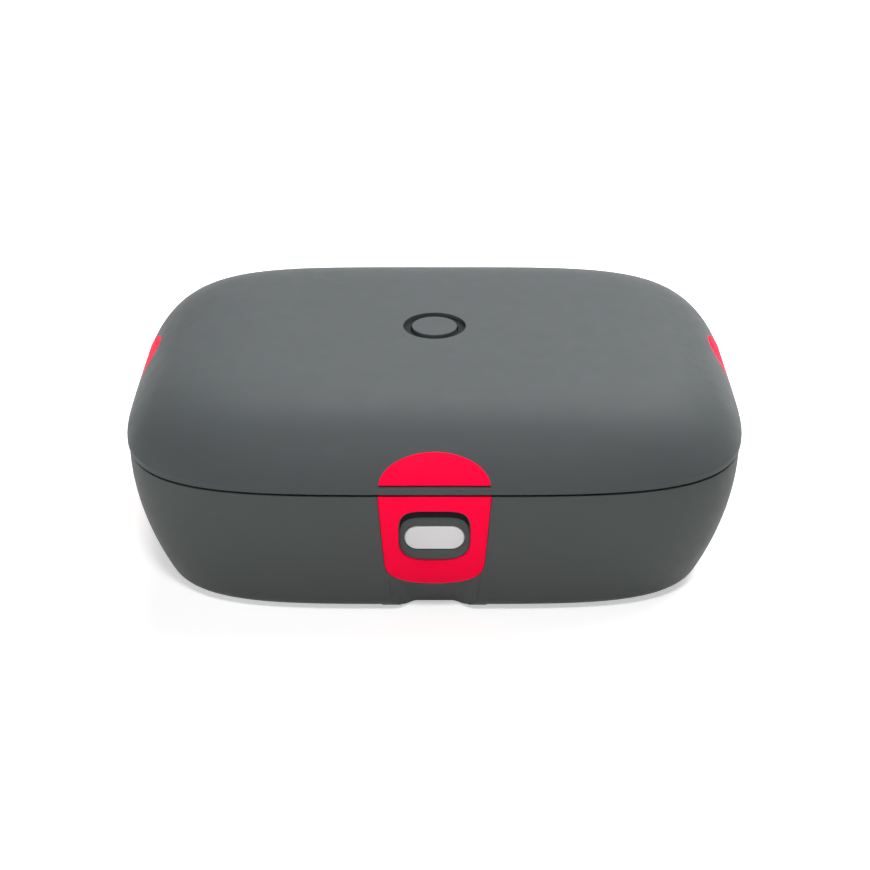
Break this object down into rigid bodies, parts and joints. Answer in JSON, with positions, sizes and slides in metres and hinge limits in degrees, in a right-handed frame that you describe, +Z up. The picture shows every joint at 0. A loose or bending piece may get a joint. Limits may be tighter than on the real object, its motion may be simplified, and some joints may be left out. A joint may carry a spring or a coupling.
{
  "type": "electric lunch box",
  "caption": "Heated lunch box with a tapered rounded base, a removable steel tray over a heater, and a domed hinged lid held by push-button latches, with a vent button on top.",
  "frame": {"origin": "middle of the box's footprint at the underside of its feet", "axes": "+X to the right seen from the front, +Y to the rear where the hinge is, +Z up"},
  "size_m": [0.274, 0.2103, 0.0985],
  "materials": {
    "case": "satin moulded, fine texture",
    "lid": "satin moulded, fine texture",
    "dark_plastic": "matt moulded",
    "accent": "satin red",
    "button": "satin light grey",
    "liner": "matt moulded",
    "tray_steel": "brushed",
    "heat_plate": "cast, satin",
    "element": "oxidised sheath",
    "felt": "needled fibre",
    "steel": "zinc plated",
    "brass": "bright",
    "board": "solder resist",
    "wire": "silicone insulated",
    "rubber": "matt",
    "silicone": "soft translucent white"
  },
  "bodies": {
    "base": {"base_shell": "case", "bottom_cover": "dark_plastic", "feet": "rubber", "cover_screws": "steel", "base_liner": "liner", "liner_screws": "steel", "food_tray": "tray_steel", "heat_plate": "heat_plate", "heating_element": "element", "insulation_mat": "felt", "thermostat": "steel", "thermal_fuse": "brass", "control_board": "board", "power_inlet": "dark_plastic", "inlet_pins": "brass", "wiring": "wire", "hook_pins": "steel", "hinge_pins": "steel", "latch_plate_front": "accent", "latch_plate_left": "accent", "latch_plate_right": "accent", "latch_cup_front": "case", "latch_cup_left": "case", "latch_cup_right": "case", "hook_spring_front": "steel", "hook_spring_left": "steel", "hook_spring_right": "steel"},
    "lid": {"lid_shell": "lid", "lid_liner": "liner", "lid_seal": "silicone", "lid_screws": "steel", "lid_catches": "steel", "vent_housing": "dark_plastic", "vent_spring": "steel", "lid_accent_front": "accent", "lid_accent_left": "accent", "lid_accent_right": "accent"},
    "vent": {"vent_button": "lid", "vent_seal": "silicone"},
    "front_button": {"release_button_front": "button"},
    "front_hook": {"latch_hook_front": "steel"},
    "left_button": {"release_button_left": "button"},
    "left_hook": {"latch_hook_left": "steel"},
    "right_button": {"release_button_right": "button"},
    "right_hook": {"latch_hook_right": "steel"}
  },
  "joints": [
    {"name": "lid_hinge", "type": "hinge", "parent": "base", "child": "lid", "pos_m": [0, 0.1038, 0.0677], "axis": [-1, 0, 0], "range_deg": [0, 100]},
    {"name": "vent_press", "type": "slide", "parent": "lid", "child": "vent", "axis": [0, 0, -1], "range_m": [0, 0.002], "stiffness_N_per_m": 300, "springref_m": -0.002, "deforming": ["vent_spring"]},
    {"name": "front_button_press", "type": "slide", "parent": "base", "child": "front_button", "axis": [0, 1, 0], "range_m": [0, 0.0015], "stiffness_N_per_m": 800, "springref_m": -0.001},
    {"name": "front_hook_pivot", "type": "hinge", "parent": "base", "child": "front_hook", "pos_m": [0, -0.0906, 0.0277], "axis": [-1, 0, 0], "range_deg": [0, 5.2], "deforming": ["hook_spring_front"]},
    {"name": "left_button_press", "type": "slide", "parent": "base", "child": "left_button", "axis": [1, 0, 0], "range_m": [0, 0.0015], "stiffness_N_per_m": 800, "springref_m": -0.001},
    {"name": "left_hook_pivot", "type": "hinge", "parent": "base", "child": "left_hook", "pos_m": [-0.124, 0.014, 0.0277], "axis": [0, 1, 0], "range_deg": [0, 5.2], "deforming": ["hook_spring_left"]},
    {"name": "right_button_press", "type": "slide", "parent": "base", "child": "right_button", "axis": [-1, 0, 0], "range_m": [0, 0.0015], "stiffness_N_per_m": 800, "springref_m": -0.001},
    {"name": "right_hook_pivot", "type": "hinge", "parent": "base", "child": "right_hook", "pos_m": [0.124, 0.014, 0.0277], "axis": [0, -1, 0], "range_deg": [0, 5.2], "deforming": ["hook_spring_right"]}
  ],
  "couplings": [
    {"joint": "front_hook_pivot", "follows": "front_button_press", "rad_per_m": 59.524},
    {"joint": "left_hook_pivot", "follows": "left_button_press", "rad_per_m": 59.524},
    {"joint": "right_hook_pivot", "follows": "right_button_press", "rad_per_m": 59.524}
  ]
}
